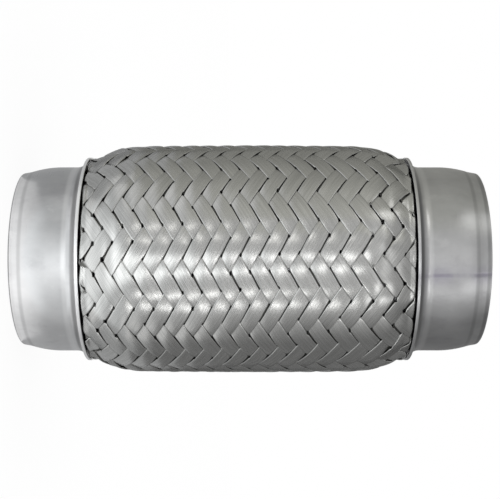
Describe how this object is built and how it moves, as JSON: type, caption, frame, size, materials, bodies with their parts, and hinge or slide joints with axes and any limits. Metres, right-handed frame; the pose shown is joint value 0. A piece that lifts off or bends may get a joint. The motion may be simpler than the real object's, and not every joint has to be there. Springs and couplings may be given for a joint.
{
  "type": "exhaust flex pipe",
  "caption": "Braided exhaust flex pipe for 57 mm pipe, 152 mm long, with flared end caps, herringbone wire braid, bellows and woven lining.",
  "frame": {"origin": "centre of the lower end face, on the pipe's axis, which is the bottom centre of the bounding box", "axes": "+Z along the pipe's axis from the lower to the upper end; X and Y across it"},
  "size_m": [0.077, 0.077, 0.1524],
  "materials": {
    "cap_steel": "satin stamped steel",
    "braid_wire": "bright flat-laid wire",
    "bellows_steel": "smooth rolled steel",
    "sleeve_steel": "satin steel",
    "lining_wire": "fine woven wire"
  },
  "bodies": {
    "root": {"end_cap_lower": "cap_steel", "end_cap_upper": "cap_steel", "outer_braid": "braid_wire", "bellows": "bellows_steel", "inner_sleeve_lower": "sleeve_steel", "inner_sleeve_upper": "sleeve_steel", "inner_braid": "lining_wire"}
  },
  "joints": []
}
